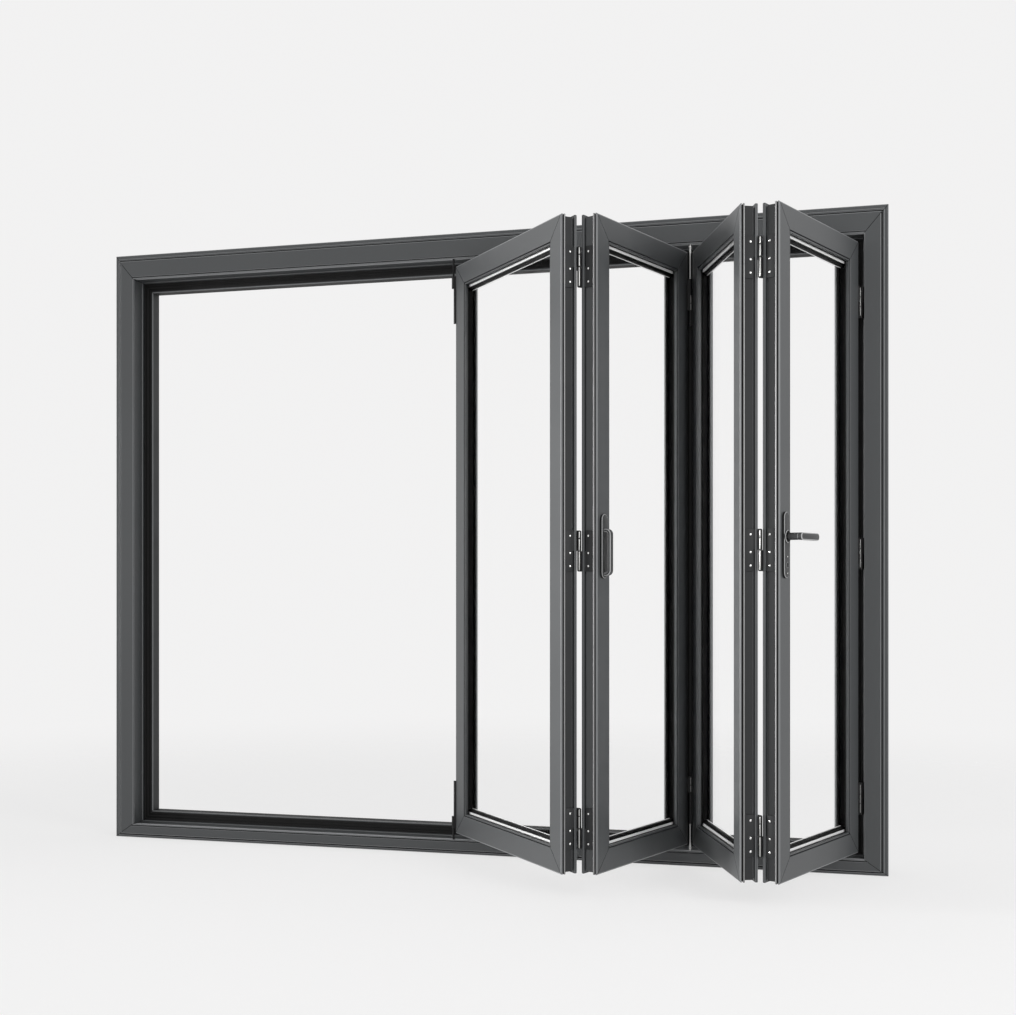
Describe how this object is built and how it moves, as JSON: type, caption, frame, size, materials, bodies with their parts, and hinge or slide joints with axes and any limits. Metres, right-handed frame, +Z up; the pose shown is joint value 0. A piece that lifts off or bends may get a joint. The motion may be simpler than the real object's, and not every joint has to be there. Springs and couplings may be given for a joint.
{
  "type": "bifold door",
  "caption": "Outward-folding glazed bifold door in a mitred aluminium frame with track, hinges, carriages, pull grip and lever handle, shown folded open to one side.",
  "frame": {"origin": "middle of the sill's base, half way between the front and back planes", "axes": "+X along the frame towards the jamb that carries the leaves, +Y from the front, where the leaves fold out, to the back, +Z up"},
  "size_m": [2.7, 0.6794, 2.1],
  "materials": {
    "powder_coat": "satin anthracite powder coat",
    "clear_glass": "clear double glazing",
    "seal_rubber": "matt black",
    "steel": "stainless",
    "track_alloy": "mill finish",
    "black_metal": "satin black",
    "nylon": "matt"
  },
  "bodies": {
    "door": {"carriage_wheels": "nylon", "end_brackets": "black_metal", "frame_head": "powder_coat", "frame_jamb_left": "powder_coat", "frame_jamb_right": "powder_coat", "frame_seal": "seal_rubber", "frame_sill": "powder_coat", "head_track": "track_alloy", "hinges_1_2": "steel", "hinges_2_3": "steel", "hinges_3_4": "steel", "hinges_4_jamb": "steel", "leaf1_beads": "powder_coat", "leaf1_glass": "clear_glass", "leaf1_rail_bottom": "powder_coat", "leaf1_rail_top": "powder_coat", "leaf1_stile_left": "powder_coat", "leaf1_stile_right": "powder_coat", "leaf2_beads": "powder_coat", "leaf2_glass": "clear_glass", "leaf2_rail_bottom": "powder_coat", "leaf2_rail_top": "powder_coat", "leaf2_stile_left": "powder_coat", "leaf2_stile_right": "powder_coat", "leaf3_beads": "powder_coat", "leaf3_glass": "clear_glass", "leaf3_rail_bottom": "powder_coat", "leaf3_rail_top": "powder_coat", "leaf3_stile_left": "powder_coat", "leaf3_stile_right": "powder_coat", "leaf4_beads": "powder_coat", "leaf4_glass": "clear_glass", "leaf4_rail_bottom": "powder_coat", "leaf4_rail_top": "powder_coat", "leaf4_stile_left": "powder_coat", "leaf4_stile_right": "powder_coat", "leaf_gaskets": "seal_rubber", "lever_plate": "black_metal", "lock_cylinder": "steel", "pivot_rods": "steel", "pull_grip": "black_metal", "pull_plate": "black_metal", "sill_track": "track_alloy", "track_carriages": "black_metal"},
    "lever": {"lever_handle": "black_metal"}
  },
  "joints": [
    {"name": "lever_turn", "type": "hinge", "parent": "door", "child": "lever", "pos_m": [1.06543, -0.56415, 1.047], "axis": [-0.9344, 0.3562, 0], "range_deg": [0, 45], "stiffness_Nm_per_rad": 1, "springref_deg": -34.38}
  ]
}
